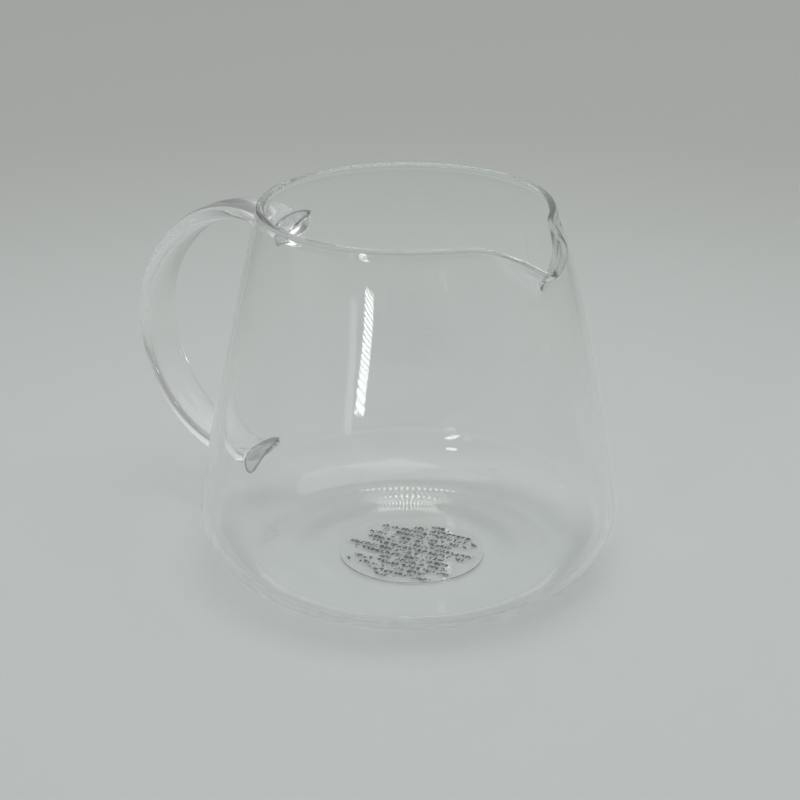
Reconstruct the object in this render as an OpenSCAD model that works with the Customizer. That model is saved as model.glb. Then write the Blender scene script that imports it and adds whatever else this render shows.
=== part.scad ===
// Glass coffee server: a blown jug with a pulled spout and a solid glass strap handle.
// The jug's axis is Z, the spout points along +X and the jug stands on z = 0. Millimetres.

/* [Jug] */
// Widest outside diameter, just above the heel
body_d = 110; // [90:1:140]
// Outside diameter of the mouth, away from the spout
mouth_d = 78.4; // [66:0.2:88]
// Height of the rim above the table
body_h = 98; // [86:1:125]
// Outside radius of the heel, where the wall turns under
heel_r = 16; // [10:0.5:22]
// Thickness of the blown wall
wall_t = 2; // [1.4:0.1:2.8]
// Thickness of the floor
floor_t = 1.8; // [1.4:0.1:4]
// Thickness of the fire-polished rim bead
bead_t = 2.3; // [2:0.1:3.6]
// How far the straight wall bows outwards at its middle
wall_bow = 0.7; // [0:0.1:2]
// Width of the flat ring that the jug stands on
foot_w = 7; // [4:0.5:12]
// How far the middle of the underside is pushed up
push_up = 0.6; // [0.4:0.1:2]
// Depth by which the rounded foot is ground flat
foot_flat = 0.3; // [0.2:0.05:0.4]

/* [Spout] */
// How far the lip is pulled out past the round mouth
lip_reach = 7; // [3:0.2:9]
// Share of that reach by which the lip flares out sharply at the rim
lip_flare_share = 0.66; // [0:0.02:0.8]
// How far the lip dips below the rim
lip_dip = 8.2; // [4:0.2:12]
// How far the mouth is drawn in beside the spout
lip_pinch = 2; // [0:0.1:3]
// How much further the rim is nipped in where the flared lip begins
lip_nip = 0.5; // [0:0.1:1.2]
// Height over which the spout fades into the wall
lip_fade = 30; // [24:1:44]

/* [Handle] */
// Width of the glass strap
strap_w = 12.5; // [9:0.5:16]
// Thickness of the glass strap
strap_t = 5; // [4:0.25:6.5]
// How far the middle of the strap stands out past the widest part of the jug
handle_reach = 38; // [31:1:49]
// Height of that outermost point
handle_mid_z = 48.5; // [42:0.5:54]
// Distance of the upper weld's middle below the rim
handle_drop = 14.4; // [12:0.2:24]
// Height of the lower weld's middle
handle_low_z = 13.8; // [12:0.2:20]
// Angle above level at which the strap leaves the upper weld
handle_rise_deg = 17; // [4:1:30]

/* [Welds] */
// Length of each weld, from the strap's end to the wall
weld_l = 4; // [2.5:0.25:6]
// How far a weld spreads past the strap on each side where it meets the wall
weld_flare = 1.4; // [0.8:0.1:3]
// Clearance between a weld and the wall
weld_gap = 0.05; // [0.02:0.01:0.1]

/* [Label] */
// Diameter of the round film label under the base
label_d = 39; // [30:0.5:44]
// Thickness of the film
label_t = 0.15; // [0.1:0.05:0.3]
// How far the label sits off the jug's axis, towards the spout
label_off = 1.6; // [0:0.1:3]
// Clearance between the label and the rise of the underside around it
label_gap = 1.5; // [1:0.25:2]

/* [Hidden] */
glass_tint = [0.86, 0.93, 0.92, 0.45];
film_tint = [0.95, 0.95, 0.93, 0.9];
EXACT_FN = 96;

// Radii and heights that follow from the sizes above
body_r = body_d / 2;
heel_mid_r = body_r - heel_r;
bead_r = bead_t / 2;
rim_mid_r = mouth_d / 2 - bead_r;
bead_z = body_h - bead_r;
wall_top_r = rim_mid_r + wall_t / 2;
foot_out_r = heel_mid_r;
foot_in_r = foot_out_r - foot_w;
label_seat_r = label_d / 2 + label_off + label_gap;
fade_z = body_h - lip_fade;
handle_out = body_r + handle_reach;
handle_top_z = body_h - handle_drop;

// Angle, measured round the heel's middle, at which the heel runs on into the sloping wall
wall_dx = wall_top_r - heel_mid_r;
wall_dz = bead_z - heel_r;
heel_end = atan2(wall_dz, wall_dx) - acos(heel_r / norm([wall_dx, wall_dz]));

// Counts of facets and stations
heel_n = 8;
wall_n = 2;
fade_n = 12;
fade_crowding = 1.6;
bead_n = 6;
slope_n = 3;
fine_step = 2.5;
fine_to = 50;
coarse_n = 24;

// Spout, as angles either side of its middle, and how steeply its parts set in
reach_deg = 16.5;
flare_deg = 16;
flare_edge = 4;
flare_power = 12;
nip_deg = 27;
nip_spread_deg = 6;
dip_deg = 13;
dip_power = 1.55;
pinch_deg = 38;
pinch_spread_deg = 30;

// Smooth step from 0 to 1, a blend between two values and a point on a circle about a middle
function ease(s) = s * s * (3 - 2 * s);
function mix(a, b, s) = a + (b - a) * s;
function clamped(s) = min(1, max(0, s));
function on_circle(middle, r, a) = middle + r * [cos(a), sin(a)];

// Profile point on the heel, off is 0 on the outside and wall_t on the inside
function heel_point(a, off) = on_circle([heel_mid_r, heel_r], heel_r - off, a);

// The same on the inside, lifted towards the floor by the floor's extra thickness
function inner_heel_point(s) =
    heel_point(mix(-90, heel_end, s), wall_t) + [0, (floor_t - wall_t) * (1 - s)];

// Profile point on the wall, s runs from the end of the heel at 0 to the bead at 1
function wall_point(s, off) =
    let (
        foot = heel_point(heel_end, off),
        top = [wall_top_r - off, bead_z]
    )
    mix(foot, top, s) + [wall_bow * 4 * s * (1 - s), 0];

// Share of the wall at which the spout begins to show
fade_share = clamped((fade_z - heel_point(heel_end, 0)[1]) / (bead_z - heel_point(heel_end, 0)[1]));

// Outside radius of the plain jug at height z, for what is fused to it
function outside_r(z) =
    let (knee = heel_point(heel_end, 0))
    z < knee[1]
        ? heel_mid_r + sqrt(heel_r * heel_r - pow(heel_r - z, 2))
        : wall_point((z - knee[1]) / (bead_z - knee[1]), 0)[0];

// The underside rises from the standing ring to a flat seat for the label
function underside_z(r) = push_up * ease(clamped((foot_in_r - r) / (foot_in_r - label_seat_r)));

wall_shares = [for (i = [1 : wall_n]) fade_share * i / wall_n];
fade_shares = [for (i = [1 : fade_n]) mix(fade_share, 1, 1 - pow(1 - i / fade_n, fade_crowding))];
rise_radii = [for (i = [0 : slope_n]) mix(label_seat_r, foot_in_r, i / slope_n)];

// Closed outline of the glass, from the underside's middle round the outside to the floor's middle
outline = concat(
    [for (i = [0 : slope_n - 1]) [rise_radii[i], underside_z(rise_radii[i])]],
    [[foot_in_r, -foot_flat], [foot_out_r, -foot_flat]],
    [for (i = [1 : heel_n]) heel_point(mix(-90, heel_end, i / heel_n), 0)],
    [for (s = concat(wall_shares, fade_shares)) wall_point(s, 0)],
    [for (i = [1 : bead_n]) on_circle([rim_mid_r, bead_z], bead_r, 180 * i / (bead_n + 1))],
    [for (i = [len(fade_shares) - 1 : -1 : 0]) wall_point(fade_shares[i], wall_t)],
    [for (i = [len(wall_shares) - 1 : -1 : 0]) wall_point(wall_shares[i], wall_t)],
    [for (i = [heel_n : -1 : 0]) inner_heel_point(i / heel_n)],
    [for (i = [slope_n : -1 : 0]) [rise_radii[i], floor_t + underside_z(rise_radii[i])]]
);

// Displacement of the glass round the spout, at angle a from its middle and height z
function spout_shift(a, z) =
    let (
        rise = clamped((z - fade_z) / (bead_z - fade_z)),
        channel = lip_reach * (1 - lip_flare_share) * exp(-pow(a / reach_deg, 2)) * pow(rise, 3),
        flare = lip_reach * lip_flare_share * exp(-pow(abs(a) / flare_deg, flare_edge)) * pow(rise, flare_power),
        draw = lip_pinch * exp(-pow((abs(a) - pinch_deg) / pinch_spread_deg, 2)) * pow(rise, 2),
        nip = lip_nip * exp(-pow((abs(a) - nip_deg) / nip_spread_deg, 2)) * pow(rise, flare_power),
        fall = lip_dip * exp(-pow(abs(a) / dip_deg, dip_power)) * ease(rise)
    )
    [channel + flare - draw - nip, -fall];

// Angles round the jug, close together at the spout
half_angles = concat(
    [for (a = [fine_step : fine_step : fine_to]) a],
    [for (i = [1 : coarse_n]) mix(fine_to, 180, i / coarse_n)]
);
angles = concat([0], half_angles, [for (i = [len(half_angles) - 2 : -1 : 0]) -half_angles[i]]);

// Closed skin over rings of points, with a fan to the first and last point
function skin_faces(rings, around) = concat(
    [for (j = [0 : around - 1]) [0, 1 + (j + 1) % around, 1 + j]],
    [for (i = [0 : rings - 2], j = [0 : around - 1])
        let (a = 1 + i * around + j, b = 1 + i * around + (j + 1) % around)
        each [[a, b, b + around], [a, b + around, a + around]]],
    [for (j = [0 : around - 1])
        let (last = 1 + (rings - 1) * around)
        [last + j, last + (j + 1) % around, 1 + rings * around]]
);

module skin(first, rings, last) {
    around = len(rings[0]);
    points = concat([first], [for (ring = rings) each ring], [last]);
    polyhedron(points = points, faces = skin_faces(len(rings), around), convexity = 6);
}

module vessel() {
    rings = [for (p = outline) [for (a = angles)
        let (
            shift = spout_shift(a, p[1]),
            r = p[0] + shift[0]
        )
        [r * cos(a), r * sin(a), p[1] + shift[1]]]];
    color(glass_tint)
        difference() {
            skin([0, 0, push_up], rings, [0, 0, floor_t + push_up]);
            translate([-body_d, -body_d, -body_d])
                cube([2 * body_d, 2 * body_d, body_d]);
        }
}

// Round-edged section of the strap, u across it and v through it
section_n = 20;
section_share = 0.7;
function rounded(t) = sign(t) * pow(abs(t), section_share);
section = [for (j = [0 : section_n - 1])
    let (a = 360 * j / section_n)
    [rounded(cos(a)), rounded(sin(a))]];

// Middle of the strap in the handle's plane, as distance from the axis and height
upper_end = on_circle([outside_r(handle_top_z), handle_top_z], weld_l + weld_gap, handle_rise_deg);
lower_end = [outside_r(handle_low_z) + weld_l + weld_gap, handle_low_z];
outermost = [handle_out, handle_mid_z];
upper_run_share = 0.4;
upper_drop_share = 0.66;
lower_drop_share = 0.57;
lower_run_share = 0.54;
handle_n = 22;
function bezier(p, s) =
    pow(1 - s, 3) * p[0] + 3 * s * pow(1 - s, 2) * p[1] + 3 * s * s * (1 - s) * p[2] + pow(s, 3) * p[3];
function slope(p, s) =
    pow(1 - s, 2) * (p[1] - p[0]) + 2 * s * (1 - s) * (p[2] - p[1]) + s * s * (p[3] - p[2]);
upper_run = handle_out - upper_end[0];
lower_run = handle_out - lower_end[0];
upper_fall = handle_top_z - handle_mid_z;
lower_fall = handle_mid_z - handle_low_z;
upper_curve = [
    upper_end,
    upper_end + upper_run * upper_run_share * [1, tan(handle_rise_deg)],
    outermost + [0, upper_fall * upper_drop_share],
    outermost
];
lower_curve = [
    outermost,
    outermost - [0, lower_fall * lower_drop_share],
    lower_end + [lower_run * lower_run_share, 0],
    lower_end
];
route = concat(
    [for (i = [0 : handle_n - 1]) [bezier(upper_curve, i / handle_n), slope(upper_curve, i / handle_n)]],
    [for (i = [0 : handle_n]) [bezier(lower_curve, i / handle_n), slope(lower_curve, i / handle_n)]]
);

// A ring of the strap's section at a place on the route, facing along it
function strap_ring(place, along, w, t) =
    let (d = along / norm(along))
    [for (q = section)
        let (v = q[1] * t / 2)
        [-(place[0] - d[1] * v), q[0] * w / 2, place[1] + d[0] * v]];
function on_axis_side(p) = [-p[0], 0, p[1]];

module handle() {
    rings = [for (step = route) strap_ring(step[0], step[1], strap_w, strap_t)];
    color(glass_tint)
        skin(on_axis_side(upper_end), rings, on_axis_side(lower_end));
}

// The weld's foot on the wall: each of its points is carried onto the jug's outside
pad_n = 5;
pad_cap_n = 3;
function on_wall(y, z) = [-(sqrt(pow(outside_r(z), 2) - y * y) + weld_gap), y, z];
function foot_ring(z, share) =
    [for (q = section)
        on_wall(q[0] * (strap_w / 2 + weld_flare) * share, z + q[1] * (strap_t / 2 + weld_flare) * share)];
function pad_ring(from, to, s) =
    [for (j = [0 : section_n - 1])
        let (spread = mix(from[j], to[j], pow(s, 2)), run = mix(from[j], to[j], s))
        [run[0], spread[1], spread[2]]];

module weld_pad(place, outward, z) {
    strap_end = strap_ring(place, outward, strap_w, strap_t);
    foot = foot_ring(z, 1);
    rings = concat(
        [for (i = [1 : pad_cap_n]) foot_ring(z, i / (pad_cap_n + 1))],
        [for (i = [0 : pad_n]) pad_ring(strap_end, foot, 1 - i / pad_n)]
    );
    color(glass_tint)
        skin(on_wall(0, z), rings, on_axis_side(place));
}

module upper_weld() {
    weld_pad(upper_end, slope(upper_curve, 0), handle_top_z);
}

module lower_weld() {
    weld_pad(lower_end, -slope(lower_curve, 1), handle_low_z);
}

module base_label() {
    color(film_tint)
        translate([label_off, 0, push_up - label_t])
            cylinder(h = label_t, d = label_d, $fn = EXACT_FN);
}

vessel();
handle();
upper_weld();
lower_weld();
base_label();
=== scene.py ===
"""Dressed glass coffee server: a blown jug with a pulled spout, a fused strap handle and a film label.

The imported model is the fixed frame. Lengths are written in millimetres and turned into metres by MM.
The jug's axis is Z, the spout points along +X, the handle along -X, and the jug stands on z = 0.
"""
import logging
import math
from dataclasses import dataclass, field, replace
from enum import Enum

import bmesh
import bpy
from mathutils import Matrix, Vector


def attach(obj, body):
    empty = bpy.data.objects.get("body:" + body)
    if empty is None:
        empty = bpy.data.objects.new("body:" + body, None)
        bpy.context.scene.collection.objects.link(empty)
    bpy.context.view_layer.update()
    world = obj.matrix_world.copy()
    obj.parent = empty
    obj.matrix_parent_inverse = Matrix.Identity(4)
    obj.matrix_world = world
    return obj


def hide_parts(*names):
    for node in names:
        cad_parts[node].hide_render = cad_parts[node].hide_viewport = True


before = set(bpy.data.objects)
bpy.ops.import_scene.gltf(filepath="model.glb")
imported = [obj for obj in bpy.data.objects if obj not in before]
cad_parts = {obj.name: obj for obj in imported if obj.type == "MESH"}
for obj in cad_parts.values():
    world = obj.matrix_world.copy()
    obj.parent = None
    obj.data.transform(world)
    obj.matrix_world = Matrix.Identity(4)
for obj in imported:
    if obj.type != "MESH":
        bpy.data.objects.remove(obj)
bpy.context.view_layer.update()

log = logging.getLogger("coffee_server")

MM = 0.001
BODY = "root"
GLASS_BOUNCES = 160
GLASS_IOR = 1.47
MERGE_DISTANCE = MM / 1000
JOINT_SLOT = 1
# The slot of the rim's darker glass, which is painted shade.
SHADED_RIM_SLOT = 2
Colour = tuple[float, float, float]
Flat = tuple[float, float]
Span = tuple[float, float]
Place = tuple[float, float, float]
Socket = bpy.types.NodeSocket


class Kind(Enum):
    """The node types that the finishes, the lamps and the surround are wired from."""

    COORDS = "ShaderNodeTexCoord"
    MAPPING = "ShaderNodeMapping"
    NOISE = "ShaderNodeTexNoise"
    SPECKS = "ShaderNodeTexWhiteNoise"
    RANGE = "ShaderNodeMapRange"
    MIX = "ShaderNodeMix"
    BUMP = "ShaderNodeBump"
    MATH = "ShaderNodeMath"
    VECTOR = "ShaderNodeVectorMath"
    SPLIT = "ShaderNodeSeparateXYZ"
    JOIN = "ShaderNodeCombineXYZ"
    GEOMETRY = "ShaderNodeNewGeometry"


# Small helpers.


def ease(share: float) -> float:
    """Returns a smooth step from 0 to 1."""
    return share * share * (3 - 2 * share)


def mix(first: float, second: float, share: float) -> float:
    """Returns the blend of two values."""
    return first + (second - first) * share


def clamped(share: float) -> float:
    """Returns the share held between 0 and 1."""
    return min(1.0, max(0.0, share))


def on_circle(middle: Flat, radius: float, degrees: float) -> Flat:
    """Returns a point on a circle about a middle."""
    turn = math.radians(degrees)
    return middle[0] + radius * math.cos(turn), middle[1] + radius * math.sin(turn)


def steps(first: float, last: float, count: int) -> list[float]:
    """Returns count + 1 evenly spaced values from first to last."""
    return [mix(first, last, i / count) for i in range(count + 1)]


# Modelling by operators.


class Bench:
    """One mesh under work in edit mode, shaped by Blender's own operators."""

    def __init__(self, name: str) -> None:
        """Clears the selection, so that only the new mesh is worked on.

        Args:
            name: the name that the finished piece gets.
        """
        self.name = name
        bpy.ops.object.select_all(action="DESELECT")
        self.piece: bpy.types.Object | None = None

    def take(self) -> None:
        """Takes the primitive that was just added as the piece, in edit mode and all selected."""
        self.piece = bpy.context.object
        self.piece.name = self.name
        self.piece.data.name = self.name
        bpy.ops.object.transform_apply(location=True, rotation=True, scale=True)
        bpy.ops.object.mode_set(mode="EDIT")
        bpy.ops.mesh.select_all(action="SELECT")

    def start_vertex(self, place: Vector) -> None:
        """Starts from a small plane that is merged to one vertex.

        Args:
            place: where the vertex stands.
        """
        bpy.ops.mesh.primitive_plane_add(size=MM, location=place)
        self.take()
        bpy.ops.mesh.merge(type="CENTER")

    def start_ring(self, ring: list[Vector]) -> None:
        """Starts from a circle whose vertices are set to a ring of places.

        Args:
            ring: the places, in order round the ring.
        """
        bpy.ops.mesh.primitive_circle_add(vertices=len(ring), radius=MM, fill_type="NOTHING")
        self.take()
        edit = bmesh.from_edit_mesh(self.piece.data)
        edit.verts.ensure_lookup_table()
        for vertex, place in zip(edit.verts, ring):
            vertex.co = place
        bmesh.update_edit_mesh(self.piece.data)

    def extrude_line(self, places: list[Vector]) -> None:
        """Extrudes the selected vertex along a line of places.

        Args:
            places: the line, of which the first is where the vertex stands.
        """
        for here, there in zip(places, places[1:]):
            bpy.ops.mesh.extrude_region_move(TRANSFORM_OT_translate={"value": there - here})

    def extrude_ring(self, old: list[Vector], new: list[Vector]) -> None:
        """Extrudes the selected ring and sets each new vertex to its own place.

        Args:
            old: the places of the selected ring.
            new: the places of the next ring, in the same order.
        """
        bpy.ops.mesh.extrude_region_move(TRANSFORM_OT_translate={"value": (0, 0, 0)})
        edit = bmesh.from_edit_mesh(self.piece.data)
        moved = [v for v in edit.verts if v.select]
        nearest = [min(range(len(old)), key=lambda j: (old[j] - v.co).length_squared) for v in moved]
        for vertex, j in zip(moved, nearest):
            vertex.co = new[j]
        bmesh.update_edit_mesh(self.piece.data)

    def close_ring(self, old: list[Vector], tip: Vector) -> None:
        """Closes the selected ring with a fan to one point.

        Args:
            old: the places of the selected ring.
            tip: where the fan meets.
        """
        self.extrude_ring(old, [tip] * len(old))
        bpy.ops.mesh.remove_doubles(threshold=MERGE_DISTANCE)

    def select_ring(self, ring: list[Vector]) -> None:
        """Selects just the vertices that stand on a ring of places.

        Args:
            ring: the places.
        """
        bpy.ops.mesh.select_all(action="DESELECT")
        edit = bmesh.from_edit_mesh(self.piece.data)
        for vertex in edit.verts:
            vertex.select = any((place - vertex.co).length_squared < MERGE_DISTANCE**2 for place in ring)
        edit.select_flush(True)
        bmesh.update_edit_mesh(self.piece.data)

    def spin_round(self, columns: int) -> None:
        """Spins the whole line once round Z and merges where the spin closes, and both ends.

        Args:
            columns: the number of steps round.
        """
        bpy.ops.mesh.select_all(action="SELECT")
        bpy.ops.mesh.spin(steps=columns, angle=2 * math.pi, center=(0, 0, 0), axis=(0, 0, 1))
        bpy.ops.mesh.select_all(action="SELECT")
        bpy.ops.mesh.remove_doubles(threshold=MERGE_DISTANCE)

    def finish(self) -> bpy.types.Object:
        """Turns all faces outwards, leaves edit mode and shades the piece smooth.

        Returns:
            The finished object, standing at the origin.
        """
        bpy.ops.mesh.select_all(action="SELECT")
        bpy.ops.mesh.normals_make_consistent(inside=False)
        bpy.ops.mesh.select_all(action="DESELECT")
        bpy.ops.object.mode_set(mode="OBJECT")
        bpy.ops.object.shade_smooth()
        return self.piece


# Finishes.


@dataclass(frozen=True)
class Grain:
    """A noise's scale per metre, its detail and the factors on its coordinates."""

    scale: float
    detail: float
    stretch: Place = (1.0, 1.0, 1.0)


class Wiring:
    """A node tree, with short calls to add and join nodes."""

    def __init__(self, tree: bpy.types.NodeTree) -> None:
        """Takes a tree in hand.

        Args:
            tree: a material's, a lamp's or the world's node tree.
        """
        self.tree = tree

    def add(self, kind: Kind, inputs: dict | None = None, **settings: object) -> bpy.types.Node:
        """Adds a node and sets or joins its inputs.

        Args:
            kind: the node's type.
            inputs: input name or index to a plain value or another node's output.
            settings: the node's own settings.

        Returns:
            The node.
        """
        node = self.tree.nodes.new(kind.value)
        for key, value in settings.items():
            setattr(node, key, value)
        for key, value in (inputs or {}).items():
            self.join(node.inputs[key], value)
        return node

    def join(self, socket: Socket, value: object) -> None:
        """Joins an output to a socket, or sets the socket to a plain value."""
        if isinstance(value, Socket):
            self.tree.links.new(value, socket)
        else:
            socket.default_value = value

    def work(self, operation: str, *values: object) -> Socket:
        """Returns the outcome of a Math node on one to three values."""
        return self.add(Kind.MATH, dict(enumerate(values)), operation=operation).outputs[0]

    def noise(self, coords: Socket, grain: Grain) -> Socket:
        """Returns the value of a noise that reads the coordinates."""
        placed = self.add(Kind.MAPPING, {"Vector": coords, "Scale": grain.stretch}).outputs[0]
        return self.add(Kind.NOISE, {"Vector": placed, "Scale": grain.scale, "Detail": grain.detail}).outputs[0]

    def ranged(self, value: Socket, span: Span, to: Span = (0.0, 1.0), **settings: object) -> Socket:
        """Carries a value from one range to another, held at its ends.

        Args:
            value: the value's output.
            span: the range that it comes from.
            to: the range that it goes to.
            settings: the node's own settings.

        Returns:
            The carried value.
        """
        ends = {"From Min": span[0], "From Max": span[1], "To Min": to[0], "To Max": to[1]}
        return self.add(Kind.RANGE, {"Value": value, **ends}, **settings).outputs[0]

    def blend(self, share: object, first: object, second: object) -> Socket:
        """Returns the blend of two colours."""
        return self.add(Kind.MIX, {0: share, 6: first, 7: second}, data_type="RGBA").outputs[2]


class MaterialWiring(Wiring):
    """The tree of a new material, round its one Principled shader."""

    def __init__(self, name: str) -> None:
        """Makes the material.

        Args:
            name: the material's name.
        """
        self.material = bpy.data.materials.new(name)
        self.material.use_nodes = True
        super().__init__(self.material.node_tree)
        self.shader = self.tree.nodes["Principled BSDF"]

    def shade(self, **sockets: object) -> None:
        """Sets the shader's sockets, named with _ for each space."""
        for key, value in sockets.items():
            self.join(self.shader.inputs[key.replace("_", " ")], value)


def rgba(colour: Colour) -> tuple[float, float, float, float]:
    """Returns a colour with full cover."""
    return (*colour, 1.0)


@dataclass(frozen=True)
class FusedFace:
    """Where a weld is fused to the wall: inside this outline the glass runs on without a surface.

    One side of its chord is a moon that a fine dark ring goes round. The ring, the moon's grey and the line on
    the chord are painted shade, standing in for the dark that the fused outline shows through the glass.
    Height and halves are in millimetres, shade_ring, chord, chord_half and filled in shares.
    """

    height: float
    half_w: float
    half_t: float
    power: float
    shade_ring: float = 1.35
    chord: float = -0.2
    chord_half: float = 0.13
    filled: float = 0.3

    def cover(self, wires: Wiring, parts: bpy.types.Node) -> tuple[Socket, Socket]:
        """Wires how far the surface is kept, and where painted shade darkens it.

        Args:
            wires: the tree that is being wired.
            parts: the node that gives the place's X, Y and Z.

        Returns:
            The share of the surface that is kept, 0 where the glass runs on, and the mask of the painted shade.
        """
        level = wires.work("SUBTRACT", parts.outputs[2], self.height * MM)
        across = wires.work("DIVIDE", parts.outputs[1], self.half_w * MM)
        up = wires.work("DIVIDE", level, self.half_t * MM)
        powers = [wires.work("POWER", wires.work("ABSOLUTE", part), self.power) for part in (across, up)]
        reach = wires.work("ADD", *powers)
        inside = wires.work("LESS_THAN", reach, 1.0)
        off_chord = wires.work("SUBTRACT", wires.work("SUBTRACT", up, across), self.chord)
        moon = wires.work("GREATER_THAN", off_chord, 0.0)
        on_chord = wires.work("LESS_THAN", wires.work("ABSOLUTE", off_chord), self.chord_half)
        kept_inside = wires.work("MAXIMUM", wires.work("MULTIPLY", moon, self.filled), on_chord)
        kept = wires.work("MAXIMUM", wires.work("SUBTRACT", 1.0, inside), kept_inside)
        ring = wires.work("MULTIPLY", wires.work("LESS_THAN", reach, self.shade_ring), moon)
        return kept, wires.work("MAXIMUM", ring, inside)


@dataclass(frozen=True)
class GlassFinish:
    """Clear borosilicate glass, with a faint tint, the ripple of blowing and a trace of haze."""

    name: str
    clear: Colour = (0.994, 0.997, 0.995)
    dense: Colour = (0.984, 0.990, 0.986)
    cloud: Grain = Grain(28.0, 2.0)
    cloud_span: Span = (0.35, 0.65)
    wave: Grain = Grain(55.0, 1.5, (1.0, 1.0, 0.35))
    ripple: float = 0.008
    wash: Grain = Grain(160.0, 4.0, (1.0, 1.0, 0.25))
    wash_span: Span = (0.52, 0.8)
    haze: float = 0.035
    fused: tuple[FusedFace, ...] = ()
    # Colour of the painted shade at each weld: the dark ring, the moon's grey and the line on the chord.
    shade_ring: Colour = (0.22, 0.23, 0.225)

    def make(self) -> bpy.types.Material:
        """Wires the glass.

        Returns:
            The material.
        """
        wires = MaterialWiring(self.name)
        coords = wires.add(Kind.COORDS).outputs["Object"]
        cloud = wires.ranged(wires.noise(coords, self.cloud), self.cloud_span)
        tint = wires.blend(cloud, rgba(self.clear), rgba(self.dense))
        wave = wires.noise(coords, self.wave)
        wires.shade(
            Base_Color=tint,
            Roughness=wires.ranged(wires.noise(coords, self.wash), self.wash_span, (0.0, self.haze)),
            Normal=wires.add(Kind.BUMP, {"Strength": self.ripple, "Distance": MM, "Height": wave}).outputs[0],
            IOR=GLASS_IOR,
            Transmission_Weight=1.0,
        )
        if self.fused:
            parts = wires.add(Kind.SPLIT, {0: coords})
            kept, dark = zip(*[face.cover(wires, parts) for face in self.fused])
            # Painted shade at the welds: the dark ring, the grey moon and the chord's line darken the glass's
            # colour.
            wires.shade(
                Base_Color=wires.blend(wires.work("MAXIMUM", *dark), tint, rgba(self.shade_ring)),
                Alpha=wires.work("MINIMUM", *kept),
            )
        return wires.material


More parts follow.
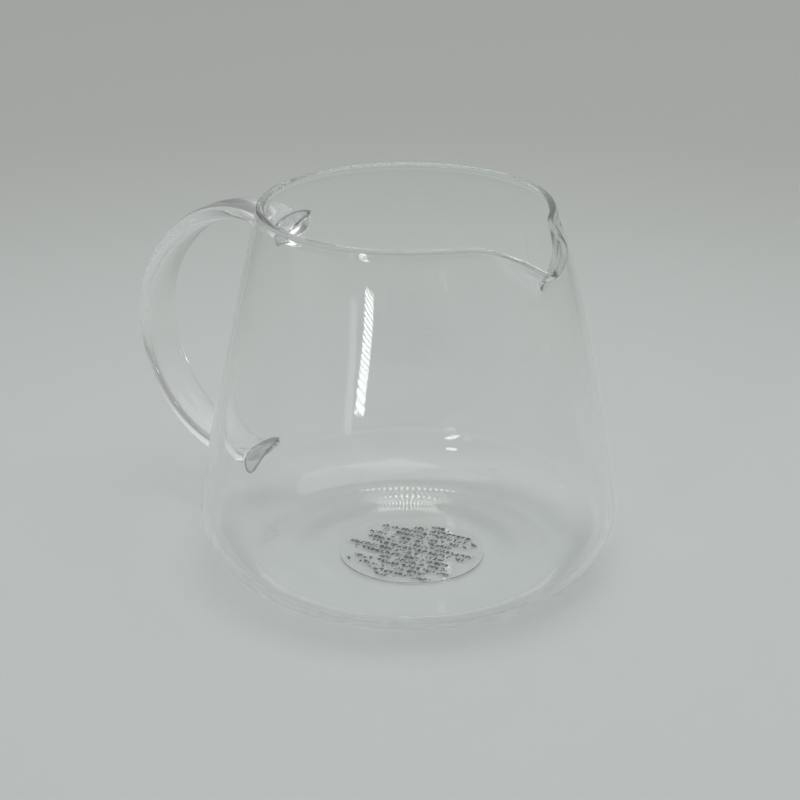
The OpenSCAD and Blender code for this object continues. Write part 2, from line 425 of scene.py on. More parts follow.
@dataclass(frozen=True)
class FilmFinish:
    """Thin clear film with rows of small plain blocks in dark ink, which spell nothing. Millimetres."""

    name: str
    middle: Flat = (0.0, 0.0)
    radius: float = 19.5
    film: Colour = (0.80, 0.82, 0.81)
    ink: Colour = (0.006, 0.008, 0.007)
    # Painted shade: the colour of the dark line painted along the film's outer band on the side that faces
    # edge_bearing.
    edge_shade: Colour = (0.06, 0.065, 0.06)
    cover: float = 0.06
    turn: float = 13.0
    row: float = 2.45
    row_share: float = 0.60
    block: float = 1.45
    block_share: float = 0.84
    grain: Flat = (0.48, 0.76)
    filled: float = 0.47
    ink_cover: float = 0.95
    edge_shade_cover: float = 0.8
    text_radius: float = 17.9
    ragged: float = 8.0
    ragged_seeds: Flat = (3.7, 9.1)
    edge_width: float = 0.34
    edge_bearing: float = -51.0
    short_row: float = -3.0
    short_from: float = -6.5
    dust: Grain = Grain(900.0, 3.0)
    dust_span: Span = (0.35, 0.7)
    dusty: float = 0.9
    matt_span: Span = (0.3, 0.7)
    roughness: Span = (0.28, 0.42)

    def make(self) -> bpy.types.Material:
        """Wires the film and its marks.

        Returns:
            The material.
        """
        wires = MaterialWiring(self.name)
        coords = wires.add(Kind.COORDS).outputs["Object"]
        shift = (-self.middle[0], -self.middle[1], 0.0)
        flat = wires.add(Kind.MAPPING, {"Vector": coords, "Scale": (1 / MM,) * 3, "Location": shift}).outputs[0]
        turn = (0, 0, -math.radians(self.turn))
        turned = wires.add(Kind.MAPPING, {"Vector": flat, "Rotation": turn}).outputs[0]
        along, across, _ = wires.add(Kind.SPLIT, {0: turned}).outputs
        marks = wires.work("MULTIPLY", self.blocks(wires, along, across), self.text_area(wires, along, across))
        edge_shade = self.edge_shade_mask(wires, along, across)
        dust = wires.noise(coords, self.dust)
        dull = tuple(self.dusty * part for part in self.film)
        film = wires.blend(wires.ranged(dust, self.dust_span), rgba(self.film), rgba(dull))
        marks_cover = wires.ranged(marks, (0.0, 1.0), (self.cover, self.ink_cover))
        wires.shade(
            # The dark line along the film's side that faces edge_bearing is painted shade; the ink is print.
            Base_Color=wires.blend(edge_shade, wires.blend(marks, film, rgba(self.ink)), rgba(self.edge_shade)),
            Roughness=wires.ranged(dust, self.matt_span, self.roughness),
            Alpha=wires.work("MAXIMUM", marks_cover, wires.work("MULTIPLY", edge_shade, self.edge_shade_cover)),
            Specular_IOR_Level=0.0,
        )
        return wires.material

    def edge_shade_mask(self, wires: Wiring, along: Socket, across: Socket) -> Socket:
        """Finds the film's outer band on the side that faces edge_bearing, where a dark line is painted:
        painted shade that stands in for the shadow of its cut side.

        Args:
            wires: the tree that is being wired.
            along: the place along the rows.
            across: the place across the rows.

        Returns:
            1 in the middle of the painted line there and 0 elsewhere.
        """
        place = wires.add(Kind.JOIN, {0: along, 1: across}).outputs[0]
        off = wires.add(Kind.VECTOR, {0: place}, operation="LENGTH").outputs["Value"]
        thick = wires.ranged(off, (self.radius - self.edge_width, self.radius - self.edge_width / 2))
        bearing = math.radians(self.turn - self.edge_bearing)
        near_side = wires.work("MULTIPLY", along, math.cos(bearing))
        near_side = wires.work("SUBTRACT", near_side, wires.work("MULTIPLY", across, math.sin(bearing)))
        return wires.work("MULTIPLY", thick, wires.ranged(near_side, (0.0, self.radius / 2)))

    def blocks(self, wires: Wiring, along: Socket, across: Socket) -> Socket:
        """Breaks each row into blocks of a few inked grains, with a gap after each block and each row.

        Args:
            wires: the tree that is being wired.
            along: the place along the rows.
            across: the place across the rows.

        Returns:
            1 in the ink and 0 between.
        """
        rows = wires.work("DIVIDE", across, self.row)
        columns = wires.work("DIVIDE", along, self.block)
        in_row = wires.work("LESS_THAN", wires.work("FRACT", rows), self.row_share)
        in_block = wires.work("LESS_THAN", wires.work("FRACT", columns), self.block_share)
        grains = [
            wires.work("FLOOR", wires.work("DIVIDE", along, self.grain[0])),
            wires.work("FLOOR", wires.work("DIVIDE", across, self.grain[1])),
        ]
        cell = wires.add(Kind.JOIN, {0: grains[0], 1: grains[1]}).outputs[0]
        speck = wires.add(Kind.SPECKS, {"Vector": cell}, noise_dimensions="3D").outputs["Value"]
        inked = wires.work("LESS_THAN", speck, self.filled)
        return wires.work("MULTIPLY", wires.work("MULTIPLY", in_row, in_block), inked)

    def text_area(self, wires: Wiring, along: Socket, across: Socket) -> Socket:
        """Keeps the rows inside a circle, with ragged ends and some short rows.

        Args:
            wires: the tree that is being wired.
            along: the place along the rows.
            across: the place across the rows.

        Returns:
            1 where the rows are printed.
        """
        number = wires.work("FLOOR", wires.work("DIVIDE", across, self.row))
        room = wires.work("SUBTRACT", self.text_radius**2, wires.work("MULTIPLY", across, across))
        chord = wires.work("SQRT", wires.work("MAXIMUM", room, 0.0))
        shares = []
        for seed, side in zip(self.ragged_seeds, (1.0, -1.0)):
            place = wires.work("ADD", number, seed)
            short = wires.add(Kind.SPECKS, {"W": place}, noise_dimensions="1D").outputs["Value"]
            cut = wires.work("MULTIPLY", wires.work("POWER", short, 2.0), self.ragged)
            reach = wires.work("SUBTRACT", chord, cut)
            shares.append(wires.work("LESS_THAN", wires.work("MULTIPLY", along, side), reach))
        off_short = wires.work("ABSOLUTE", wires.work("SUBTRACT", number, self.short_row))
        other_row = wires.work("GREATER_THAN", off_short, 0.5)
        bare = wires.work("MAXIMUM", other_row, wires.work("GREATER_THAN", along, self.short_from))
        return wires.work("MULTIPLY", wires.work("MULTIPLY", *shares), bare)


class Finishes:
    """The finishes of this object, made once and shared by its pieces."""

    def __init__(self, fused: tuple[FusedFace, ...], label: "Label") -> None:
        """Makes each material.

        Args:
            fused: the outlines at which the handle is fused to the wall.
            label: the label, for the place and size of its print.
        """
        blown = GlassFinish("clear_blown_glass")
        wave = replace(blown.wave, scale=80.0)
        drawn = GlassFinish("clear_drawn_glass", wave=wave, ripple=0.015, haze=0.02)
        # The light that the wall guides up from below leaves at the rim; the rim's darker tint is painted shade
        # that holds that bright ring down, so the rim reads darker than the wall.
        rim = replace(blown, name="rim_glass_with_painted_shade", clear=(0.69, 0.72, 0.70), dense=(0.67, 0.70, 0.68))
        self.jug = blown.make()
        self.handle = drawn.make()
        self.rim = rim.make()
        self.jug_joint = replace(blown, name="blown_glass_at_welds_with_painted_shade", fused=fused).make()
        # On the handle's feet the moon is not greyed and the chord has no line; the dark ring's colour is still
        # painted shade.
        plain = tuple(replace(face, filled=0.0, chord_half=0.0) for face in fused)
        self.handle_joint = replace(drawn, name="drawn_glass_at_welds_with_painted_shade", fused=plain).make()
        self.film = FilmFinish("clear_film_with_marks", label.middle, label.radius).make()


def dress(
    piece: bpy.types.Object, materials: list[bpy.types.Material], slot: str, *nodes: str
) -> bpy.types.Object:
    """Gives a piece its finish and its place in the frame.

    Args:
        piece: the finished piece.
        materials: its finish, and after it the finishes of the faces that were given another slot.
        slot: the record's material slot, which is not used.
        nodes: the CAD nodes that it stands for.

    Returns:
        The same piece.
    """
    chosen = [polygon.material_index for polygon in piece.data.polygons]
    piece.data.materials.clear()
    for material in materials:
        piece.data.materials.append(material)
    piece.data.polygons.foreach_set("material_index", chosen)
    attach(piece, BODY)
    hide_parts(*nodes)
    log.info("%s: %d faces", piece.name, len(piece.data.polygons))
    return piece


# The jug.


@dataclass(frozen=True)
class Spout:
    """The pulled lip, as a displacement of the glass round it. Millimetres and degrees."""

    reach: float = 7.0
    flare_share: float = 0.66
    dip: float = 8.2
    pinch: float = 2.0
    nip: float = 0.5
    fade: float = 30.0
    reach_deg: float = 16.5
    flare_deg: float = 16.0
    flare_edge: float = 4.0
    flare_power: float = 12.0
    nip_deg: float = 27.0
    nip_spread_deg: float = 6.0
    dip_deg: float = 13.0
    dip_power: float = 1.55
    pinch_deg: float = 38.0
    pinch_spread_deg: float = 30.0

    def pull(self, bearing: float, height: float, rim: float, top: float) -> Flat:
        """Works out how far the glass moves outwards and upwards at one place.

        Args:
            bearing: degrees from the spout's middle.
            height: height above the table.
            rim: height of the rim's top.
            top: height of the bead's middle.

        Returns:
            The move away from the axis and the move up.
        """
        low = rim - self.fade
        rise = clamped((height - low) / (top - low))
        late_rise = rise**self.flare_power
        channel = self.reach * (1 - self.flare_share) * math.exp(-((bearing / self.reach_deg) ** 2)) * rise**3
        lip = math.exp(-((bearing / self.flare_deg) ** self.flare_edge))
        flare = self.reach * self.flare_share * lip * late_rise
        nip = self.nip * math.exp(-(((bearing - self.nip_deg) / self.nip_spread_deg) ** 2)) * late_rise
        draw = self.pinch * math.exp(-(((bearing - self.pinch_deg) / self.pinch_spread_deg) ** 2)) * rise**2
        fall = self.dip * math.exp(-((bearing / self.dip_deg) ** self.dip_power)) * ease(rise)
        return channel + flare - draw - nip, -fall


@dataclass(frozen=True)
class Jug:
    """The blown jug: a turned wall with a rounded heel, a beaded rim and a pulled spout. Millimetres."""

    body_r: float = 55.0
    mouth_r: float = 39.2
    height: float = 98.0
    heel_r: float = 16.0
    wall_t: float = 2.0
    floor_t: float = 1.8
    bead_t: float = 2.3
    wall_bow: float = 0.7
    foot_w: float = 7.0
    push_up: float = 0.6
    seat_r: float = 22.6
    spout: Spout = field(default_factory=Spout)
    columns: int = 240
    hub_radii: tuple[float, ...] = (0.0, 7.0, 14.0)
    rise_steps: int = 10
    ring_steps: int = 5
    heel_steps: int = 30
    wall_bands: tuple[tuple[float, float, int], ...] = ((0.0, 0.5, 7), (0.5, 0.86, 12), (0.86, 0.985, 16))
    bead_span: Span = (8.0, 172.0)
    bead_steps: int = 14
    joint_margins: Flat = (1.5, 2.0)

    @property
    def heel_mid(self) -> Flat:
        """Middle of the heel's circle, as radius and height."""
        return self.body_r - self.heel_r, self.heel_r

    @property
    def bead_mid(self) -> Flat:
        """Middle of the rim's bead, as radius and height."""
        return self.mouth_r - self.bead_t / 2, self.height - self.bead_t / 2

    @property
    def heel_end(self) -> float:
        """Angle at which the heel runs on into the sloping wall, in degrees."""
        dx = self.bead_mid[0] + self.wall_t / 2 - self.heel_mid[0]
        dz = self.bead_mid[1] - self.heel_mid[1]
        return math.degrees(math.atan2(dz, dx) - math.acos(self.heel_r / math.hypot(dx, dz)))

    def heel(self, degrees: float, depth: float) -> Flat:
        """Returns a point on the heel, depth below the outside."""
        return on_circle(self.heel_mid, self.heel_r - depth, degrees)

    def wall(self, share: float, depth: float) -> Flat:
        """Returns a point on the wall, share of the way up from the heel and depth below the outside."""
        foot = self.heel(self.heel_end, depth)
        top = (self.bead_mid[0] + self.wall_t / 2 - depth, self.bead_mid[1])
        bow = self.wall_bow * 4 * share * (1 - share)
        return mix(foot[0], top[0], share) + bow, mix(foot[1], top[1], share)

    def outside(self, height: float) -> float:
        """Returns the plain jug's outside radius at a height, for what is fused to it."""
        knee = self.heel(self.heel_end, 0)
        if height < knee[1]:
            return self.heel_mid[0] + math.sqrt(self.heel_r**2 - (self.heel_r - height) ** 2)
        return self.wall((height - knee[1]) / (self.bead_mid[1] - knee[1]), 0)[0]

    @property
    def foot_in(self) -> float:
        """Inner radius of the standing ring."""
        return self.heel_mid[0] - self.foot_w

    def underside(self, radius: float) -> float:
        """Returns the height of the underside, which rises from the standing ring to the label's seat."""
        return self.push_up * ease(clamped((self.foot_in - radius) / (self.foot_in - self.seat_r)))

    def outline(self) -> list[Flat]:
        """Returns the glass's closed outline, from the underside's middle round to the floor's middle."""
        radii = [*self.hub_radii, *steps(self.seat_r, self.foot_in, self.rise_steps)]
        shares = [share for first, last, count in self.wall_bands for share in steps(first, last, count)[1:]]
        under = [(r, self.underside(r)) for r in radii]
        ring = [(r, 0.0) for r in steps(self.foot_in, self.heel_mid[0], self.ring_steps)[1:-1]]
        heel = [self.heel(a, 0) for a in steps(-90, self.heel_end, self.heel_steps)]
        outer = [self.wall(s, 0) for s in shares]
        bead = [on_circle(self.bead_mid, self.bead_t / 2, a) for a in steps(*self.bead_span, self.bead_steps)]
        inner = [self.wall(s, self.wall_t) for s in reversed(shares)]
        bowl = []
        for share in steps(1, 0, self.heel_steps):
            point = self.heel(mix(-90, self.heel_end, share), self.wall_t)
            bowl.append((point[0], point[1] + (self.floor_t - self.wall_t) * (1 - share)))
        floor = [(r, self.floor_t + self.underside(r)) for r in reversed(radii)]
        return [*under, *ring, *heel, *outer, *bead, *inner, *bowl, *floor]

    def build(self) -> bpy.types.Object:
        """Extrudes the outline from one vertex, spins it and pulls the spout.

        Returns:
            The jug as one closed glass body.
        """
        bench = Bench("jug_glass")
        line = [Vector((r * MM, 0, z * MM)) for r, z in self.outline()]
        bench.start_vertex(line[0])
        bench.extrude_line(line)
        bench.spin_round(self.columns)
        self.mark_shaded_rim(bench.piece)
        self.pull_spout(bench.piece)
        return bench.finish()

    def mark_shaded_rim(self, piece: bpy.types.Object) -> None:
        """Gives the bead's faces the rim's darker glass, which is painted shade, while the rim is still level.

        Args:
            piece: the spun jug, in edit mode.
        """
        edit = bmesh.from_edit_mesh(piece.data)
        low = (self.bead_mid[1] - self.bead_t / 10) * MM
        for face in edit.faces:
            if min(vertex.co.z for vertex in face.verts) > low:
                face.material_index = SHADED_RIM_SLOT
        bmesh.update_edit_mesh(piece.data)

    def pull_spout(self, piece: bpy.types.Object) -> None:
        """Moves each vertex by the spout's pull for its bearing and height.

        No operator's falloff gives this pull.

        Args:
            piece: the spun jug, in edit mode.
        """
        edit = bmesh.from_edit_mesh(piece.data)
        for vertex in edit.verts:
            radius = math.hypot(vertex.co.x, vertex.co.y)
            if radius < MERGE_DISTANCE:
                continue
            bearing = abs(math.degrees(math.atan2(vertex.co.y, vertex.co.x)))
            out, up = self.spout.pull(bearing, vertex.co.z / MM, self.height, self.bead_mid[1])
            scale = 1 + out * MM / radius
            vertex.co = Vector((vertex.co.x * scale, vertex.co.y * scale, vertex.co.z + up * MM))
        bmesh.update_edit_mesh(piece.data)

    def mark_joints(self, piece: bpy.types.Object, fused: tuple[FusedFace, ...]) -> None:
        """Gives the outside faces round each weld the finish that is open there.

        Args:
            piece: the finished jug.
            fused: the outlines at which the handle is fused to the wall.
        """
        wide, high = self.joint_margins
        for polygon in piece.data.polygons:
            middle, normal = polygon.center, polygon.normal
            outside = middle.x < 0 and middle.x * normal.x + middle.y * normal.y > 0
            near = any(
                abs(middle.y) < wide * face.half_w * MM
                and abs(middle.z - face.height * MM) < high * face.half_t * MM
                for face in fused
            )
            if outside and near:
                polygon.material_index = JOINT_SLOT

    def dress(self, finishes: Finishes, fused: tuple[FusedFace, ...]) -> bpy.types.Object:
        """Builds the jug and gives it its glass, open where the handle is fused to it."""
        piece = self.build()
        self.mark_joints(piece, fused)
        return dress(piece, [finishes.jug, finishes.jug_joint, finishes.rim], "vessel_glass", "vessel")


# The handle.


@dataclass(frozen=True)
class Handle:
    """The glass strap, bent to a bow and fused to the wall by a flared weld at each end. Millimetres."""

    jug: Jug
    width: float = 12.5
    thick: float = 5.0
    out: float = 93.0
    mid_z: float = 48.5
    top_z: float = 83.6
    low_z: float = 13.8
    rise_deg: float = 17.0
    weld_l: float = 4.0
    weld_flare: float = 1.4
    weld_gap: float = 0.05
    upper_run_share: float = 0.4
    upper_drop_share: float = 0.66
    lower_run_share: float = 0.54
    lower_drop_share: float = 0.57
    section_points: int = 48
    section_power: float = 0.7
    stations: int = 48
    weld_steps: int = 10
    cap_steps: int = 5

    @property
    def upper_end(self) -> Flat:
        """Where the strap meets the upper weld."""
        start = (self.jug.outside(self.top_z), self.top_z)
        return on_circle(start, self.weld_l + self.weld_gap, self.rise_deg)

    @property
    def lower_end(self) -> Flat:
        """Where the strap meets the lower weld."""
        return self.jug.outside(self.low_z) + self.weld_l + self.weld_gap, self.low_z

    @property
    def foot_halves(self) -> Flat:
        """Half the width and half the thickness of each weld's foot."""
        return self.width / 2 + self.weld_flare, self.thick / 2 + self.weld_flare

    def curves(self) -> tuple[list[Vector], list[Vector]]:
        """Returns the two Bezier curves of the strap's middle, upper and lower, in its own plane."""
        upper, lower = Vector(self.upper_end), Vector(self.lower_end)
        outermost = Vector((self.out, self.mid_z))
        upper_run = (self.out - upper.x) * self.upper_run_share
        lower_run = (self.out - lower.x) * self.lower_run_share
        upper_drop = (self.top_z - self.mid_z) * self.upper_drop_share
        lower_drop = (self.mid_z - self.low_z) * self.lower_drop_share
        lean = Vector((1, math.tan(math.radians(self.rise_deg))))
        return (
            [upper, upper + upper_run * lean, outermost + Vector((0, upper_drop)), outermost],
            [outermost, outermost - Vector((0, lower_drop)), lower + Vector((lower_run, 0)), lower],
        )

    @staticmethod
    def place_and_slope(curve: list[Vector], share: float) -> tuple[Vector, Vector]:
        """Returns the place and the unit direction at a share of a Bezier curve."""
        rest = 1 - share
        a, b, c, d = curve
        place = rest**3 * a + 3 * share * rest**2 * b + 3 * share**2 * rest * c + share**3 * d
        slope = rest**2 * (b - a) + 2 * share * rest * (c - b) + share**2 * (d - c)
        return place, slope.normalized()

    def section(self) -> list[Flat]:
        """Returns the round-edged section, as shares of half the width and half the thickness."""
        found = []
        for j in range(self.section_points):
            turn = 2 * math.pi * j / self.section_points
            sides = (math.cos(turn), math.sin(turn))
            found.append(tuple(math.copysign(abs(t) ** self.section_power, t) for t in sides))
        return found

    def strap_ring(self, place: Vector, along: Vector) -> list[Vector]:
        """Returns the section's places at one station, square to its direction."""
        ring = []
        for u, v in self.section():
            off = v * self.thick / 2
            x, z = place.x - along.y * off, place.y + along.x * off
            ring.append(Vector((-x, u * self.width / 2, z)) * MM)
        return ring

    def on_wall(self, across: float, height: float) -> Vector:
        """Returns the place on the jug's outside at a height and a distance from the handle's plane."""
        out = math.sqrt(self.jug.outside(height) ** 2 - across**2) + self.weld_gap
        return Vector((-out, across, height)) * MM

    def foot_ring(self, height: float, share: float) -> list[Vector]:
        """Returns a share of the weld's foot, on the wall."""
        half_w, half_t = self.foot_halves
        return [self.on_wall(u * half_w * share, height + v * half_t * share) for u, v in self.section()]

    def weld_rings(self, place: Vector, along: Vector, height: float) -> list[list[Vector]]:
        """Returns the weld's rings, from the middle of its foot to the strap's end.

        Args:
            place: the middle of the strap's end.
            along: the strap's direction there, away from the upper weld and towards the lower one.
            height: the height of the foot's middle.

        Returns:
            The rings in order, without the strap's own end ring.
        """
        strap, foot = self.strap_ring(place, along), self.foot_ring(height, 1)
        rings = [self.foot_ring(height, i / self.cap_steps) for i in range(1, self.cap_steps)]
        for i in range(self.weld_steps):
            share = 1 - i / self.weld_steps
            rings.append([
                Vector((mix(a.x, b.x, share), mix(a.y, b.y, share**2), mix(a.z, b.z, share**2)))
                for a, b in zip(strap, foot)
            ])
        return rings

    def rings(self) -> list[list[Vector]]:
        """Returns every ring, from the upper weld's foot along the strap to the lower weld's foot."""
        upper, lower = self.curves()
        shares = [i / self.stations for i in range(self.stations + 1)]
        route = [self.place_and_slope(upper, share) for share in shares[:-1]]
        route += [self.place_and_slope(lower, share) for share in shares]
        first = self.weld_rings(*route[0], self.top_z)
        last = self.weld_rings(*route[-1], self.low_z)
        return first + [self.strap_ring(*station) for station in route] + last[::-1]

    def build(self) -> bpy.types.Object:
        """Extrudes the strap ring by ring from the upper weld's foot and closes both feet on the wall.

        Returns:
            The handle with both welds, as one closed glass body.
        """
        bench = Bench("handle_glass")
        rings = self.rings()
        bench.start_ring(rings[0])
        for old, new in zip(rings, rings[1:]):
            bench.extrude_ring(old, new)
        bench.close_ring(rings[-1], self.on_wall(0, self.low_z))
        bench.select_ring(rings[0])
        bench.close_ring(rings[0], self.on_wall(0, self.top_z))
        return bench.finish()

    def fused_faces(self) -> tuple[FusedFace, FusedFace]:
        """Returns the outlines of both welds' feet on the wall."""
        power = 2 / self.section_power
        top, low = (FusedFace(z, *self.foot_halves, power) for z in (self.top_z, self.low_z))
        return top, low

    def dress(self, finishes: Finishes) -> bpy.types.Object:
        """Builds the handle and gives it its glass, open at both feet."""
        piece = self.build()
        for polygon in piece.data.polygons:
            radius = math.hypot(polygon.center.x, polygon.center.y) / MM
            if abs(radius - self.jug.outside(polygon.center.z / MM) - self.weld_gap) < self.weld_gap:
                polygon.material_index = JOINT_SLOT
        nodes = ("handle", "upper_weld", "lower_weld")
        return dress(piece, [finishes.handle, finishes.handle_joint], "handle_glass", *nodes)


# The label.


@dataclass(frozen=True)
class Label:
    """The round film label under the base. Millimetres."""

    radius: float = 19.5
    thick: float = 0.15
    top_z: float = 0.6
    gap: float = 0.02
    middle: Flat = (1.6, 0.0)
    columns: int = 128
    round_share: float = 0.3
    round_steps: int = 3

    def build(self) -> bpy.types.Object:
        """Adds a thin disc and rounds its edges.

        Returns:
            The label.
        """
        bench = Bench("base_film")
        depth = (self.thick - self.gap) * MM
        place = (self.middle[0] * MM, self.middle[1] * MM, (self.top_z - self.gap) * MM - depth / 2)
        bpy.ops.mesh.primitive_cylinder_add(
            vertices=self.columns, radius=self.radius * MM, depth=depth, location=place
        )
        bench.take()
        bpy.ops.mesh.bevel(offset=depth * self.round_share, segments=self.round_steps, affect="EDGES")
        return bench.finish()

    def dress(self, finishes: Finishes) -> bpy.types.Object:
        """Builds the label and gives it its film."""
        piece = dress(self.build(), [finishes.film], "label_film", "base_label")
        piece.data.shade_flat()
        return piece


# Studio and camera.


class Face(Enum):
    """What a lamp's face shows to the glass that mirrors it."""

    EVEN = "even"
    STRIPES = "stripes"
    DOTS = "dots"


@dataclass(frozen=True)
class Lamp:
    """One rectangular lamp, given by where it stands, what it faces and how bright its face is."""

    name: str
    place: Place
    faces: Place
    width: float
    height: float
    radiance: float
    face: Face = Face.EVEN
    columns: int = 17
    rows: int = 17
    lit: float = 0.3
    unlit: float = 0.15
    band: tuple[float, float, float] = (0.3, 0.7, 0.2)
    slant: float = 1.5

    def make(self) -> bpy.types.Object:
        """Adds the lamp.

        Returns:
            The lamp's object.
        """
        data = bpy.data.lights.new(self.name, "AREA")
        data.shape = "RECTANGLE"
        data.size, data.size_y = self.width, self.height
        data.energy = self.radiance * math.pi * self.width * self.height
        if self.face is not Face.EVEN:
            self.pattern(data)
        lamp = bpy.data.objects.new(self.name, data)
        bpy.context.scene.collection.objects.link(lamp)
        turn = (Vector(self.faces) - Vector(self.place)).to_track_quat("-Z", "Y").to_matrix().to_4x4()
        lamp.matrix_world = Matrix.Translation(self.place) @ turn
        return lamp

    def pattern(self, data: bpy.types.Light) -> None:
        """Lights the lamp's face in a slanting striped band or in dots, as a panel of small diodes is.

        Args:
            data: the lamp's data.
        """
        data.use_nodes = True
        wires = Wiring(data.node_tree)
        place = wires.add(Kind.GEOMETRY).outputs["Parametric"]
        across, up, _ = wires.add(Kind.SPLIT, {0: place}).outputs
        draw = self.dots if self.face is Face.DOTS else self.stripes
        wires.join(wires.tree.nodes["Emission"].inputs["Strength"], draw(wires, across, up))

    def dots(self, wires: Wiring, across: Socket, up: Socket) -> Socket:
        """Returns 1 in the round dots, of radius lit, and 0 between."""
        squares = []
        for side, count in ((across, self.columns), (up, self.rows)):
            part = wires.work("FRACT", wires.work("MULTIPLY", side, float(count)))
            off = wires.work("ABSOLUTE", wires.work("SUBTRACT", part, 0.5))
            squares.append(wires.work("POWER", off, 2.0))
        return wires.work("LESS_THAN", wires.work("SQRT", wires.work("ADD", *squares)), self.lit)

    def stripes(self, wires: Wiring, across: Socket, up: Socket) -> Socket:
        """Returns 1 in the stripes, unlit between them and 0 outside the slanting band."""
        low, high, half = self.band
        middle = wires.work("MULTIPLY_ADD", up, high - low, low)
        off = wires.work("ABSOLUTE", wires.work("SUBTRACT", across, middle))
        slid = wires.work("MULTIPLY", across, self.slant)
        part = wires.work("FRACT", wires.work("MULTIPLY_ADD", up, float(self.rows), slid))
        stripe = wires.work("LESS_THAN", part, self.lit)
        level = wires.work("MULTIPLY_ADD", stripe, 1.0 - self.unlit, self.unlit)
        return wires.work("MULTIPLY", wires.work("LESS_THAN", off, half), level)


@dataclass(frozen=True)
class DarkZone:
    """One side of the surround that is darker, up to a height at which it fades.

    Its bearing is in degrees, facing is a span of cosines from that bearing and fades a span of heights.
    """

    bearing: float
    share: float
    facing: Span
    fades: Span


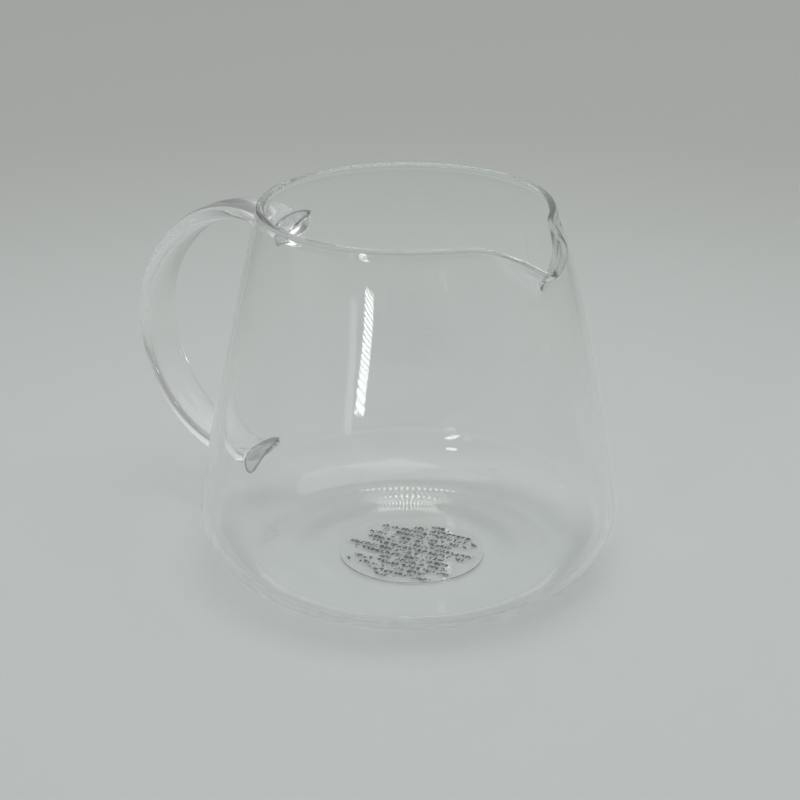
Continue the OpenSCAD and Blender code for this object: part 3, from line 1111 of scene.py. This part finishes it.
@dataclass(frozen=True)
class Studio:
    """Pale floor with painted fall-off of light, darker with distance, a surround that is brighter overhead,
    and soft lamps.
    """

    # near and far are the floor's colours close by and far off; the darkening between them is painted fall-off
    # of light.
    near: Colour = (0.562, 0.582, 0.575)
    far: Colour = (0.432, 0.438, 0.425)
    fibre: Colour = (0.46, 0.47, 0.46)
    fibre_grain: Grain = Grain(40.0, 3.0)
    fibre_span: Span = (0.3, 0.7)
    fibre_share: float = 0.03
    matt: float = 0.9
    sheen: float = 0.1
    air: Colour = (0.97, 1.0, 0.985)
    near_r: float = 0.10
    far_r: float = 0.48
    floor_r: float = 6.0
    floor_columns: int = 96
    # Just below the jug's foot, because glass that lies in the paper's own plane turns black.
    floor_z: float = -0.00005
    surround: tuple[Flat, ...] = ((0.0, 0.40), (0.2, 0.46), (0.5, 0.66), (0.82, 0.84), (0.97, 0.88))
    dark_zones: tuple[DarkZone, ...] = (
        DarkZone(bearing=129.0, share=0.4, facing=(0.5, 0.9), fades=(0.3, 0.5)),
        DarkZone(bearing=-51.0, share=0.4, facing=(0.25, 0.7), fades=(0.75, 0.95)),
    )
    lamps: tuple[Lamp, ...] = (
        Lamp("overhead_softbox", (0.06, 0.24, 1.4), (0.0, 0.0, 0.05), width=1.3, height=1.3, radiance=0.9),
        Lamp(
            "dot_panel", (-0.887, 1.095, 0.41), (0.0, 0.0, 0.0),
            width=0.13, height=0.27, radiance=2.6, face=Face.DOTS, columns=17, rows=8,
        ),
        Lamp(
            "strip_lamp", (0.330, -1.464, 0.195), (0.015, -0.035, 0.0747),
            width=0.345, height=0.312, radiance=14.0, face=Face.STRIPES, lit=0.5,
        ),
        Lamp("side_glow", (0.092, -1.497, 0.125), (0.0, 0.0, 0.05), width=0.12, height=0.30, radiance=1.0),
        Lamp("small_lamp", (0.216, -1.225, 0.839), (0.0, 0.0, 0.02), width=0.14, height=0.14, radiance=7.0),
    )

    def floor(self) -> bpy.types.Object:
        """Lays the floor.

        Returns:
            The floor's object.
        """
        bpy.ops.object.select_all(action="DESELECT")
        bpy.ops.mesh.primitive_circle_add(
            vertices=self.floor_columns, radius=self.floor_r, fill_type="NGON", location=(0, 0, self.floor_z)
        )
        floor = bpy.context.object
        floor.name = "studio_floor"
        wires = MaterialWiring("seamless_paper_with_painted_falloff")
        coords = wires.add(Kind.COORDS).outputs["Object"]
        distance = wires.add(Kind.VECTOR, {0: coords}, operation="LENGTH").outputs["Value"]
        # Painted fall-off of light: the paper's colour darkens from near_r to far_r.
        share = wires.ranged(distance, (self.near_r, self.far_r), interpolation_type="SMOOTHSTEP")
        paper = wires.blend(share, rgba(self.near), rgba(self.far))
        noise = wires.noise(coords, self.fibre_grain)
        fibres = wires.ranged(noise, self.fibre_span, (0.0, self.fibre_share))
        wires.shade(
            Base_Color=wires.blend(fibres, paper, rgba(self.fibre)),
            Roughness=self.matt,
            Specular_IOR_Level=self.sheen,
        )
        floor.data.materials.append(wires.material)
        return floor

    def world(self) -> None:
        """Sets the surround, brighter overhead and darker behind the jug and behind the camera."""
        world = bpy.data.worlds.new("studio_surround")
        bpy.context.scene.world = world
        world.use_nodes = True
        wires = Wiring(world.node_tree)
        direction = wires.add(Kind.COORDS).outputs["Generated"]
        east, north, height = wires.add(Kind.SPLIT, {0: direction}).outputs
        level: object = self.surround[0][1]
        for (low, before), (high, after) in zip(self.surround, self.surround[1:]):
            level = wires.work("ADD", level, wires.ranged(height, (low, high), (0.0, after - before)))
        for zone in self.dark_zones:
            bearing = math.radians(zone.bearing)
            eastward = wires.work("MULTIPLY", east, math.cos(bearing))
            facing = wires.work("MULTIPLY_ADD", north, math.sin(bearing), eastward)
            towards = wires.ranged(facing, zone.facing, (0.0, zone.share), interpolation_type="SMOOTHSTEP")
            low_down = wires.ranged(height, zone.fades[::-1], interpolation_type="SMOOTHSTEP")
            kept = wires.work("SUBTRACT", 1.0, wires.work("MULTIPLY", towards, low_down))
            level = wires.work("MULTIPLY", level, kept)
        background = wires.tree.nodes["Background"]
        wires.join(background.inputs["Color"], rgba(self.air))
        wires.join(background.inputs["Strength"], level)

    def build(self) -> None:
        """Lays the floor, sets the surround and hangs the lamps."""
        self.floor()
        self.world()
        for lamp in self.lamps:
            lamp.make()


@dataclass(frozen=True)
class Viewpoint:
    """The camera at the photograph's viewing angle, found from the jug's own sizes."""

    place: Place = (0.32367, -0.39970, 0.25646)
    target: Place = (-0.00175, -0.00142, 0.04466)
    roll_deg: float = 0.512
    lens: float = 95.6
    sensor: float = 36.0

    def build(self) -> bpy.types.Object:
        """Adds the camera and makes it the scene's own.

        Returns:
            The camera's object.
        """
        data = bpy.data.cameras.new("photo_camera")
        data.lens = self.lens
        data.sensor_width = self.sensor
        camera = bpy.data.objects.new("photo_camera", data)
        bpy.context.scene.collection.objects.link(camera)
        sight = (Vector(self.target) - Vector(self.place)).normalized()
        turn = sight.to_track_quat("-Z", "Y").to_matrix().to_4x4()
        roll = Matrix.Rotation(math.radians(self.roll_deg), 4, "Z")
        camera.matrix_world = Matrix.Translation(self.place) @ turn @ roll
        bpy.context.scene.camera = camera
        return camera


def main() -> None:
    """Builds the stage and each sub-assembly in order."""
    logging.basicConfig(level=logging.INFO, format="%(name)s: %(message)s")
    scene = bpy.context.scene
    scene.view_settings.view_transform = "Standard"
    scene.cycles.max_bounces = scene.cycles.glossy_bounces = scene.cycles.transmission_bounces = GLASS_BOUNCES
    scene.cycles.blur_glossy = 0.0
    Viewpoint().build()
    Studio().build()
    jug = Jug()
    handle = Handle(jug)
    fused = handle.fused_faces()
    label = Label()
    finishes = Finishes(fused, label)
    jug.dress(finishes, fused)
    handle.dress(finishes)
    label.dress(finishes)


if __name__ == "__main__":
    main()
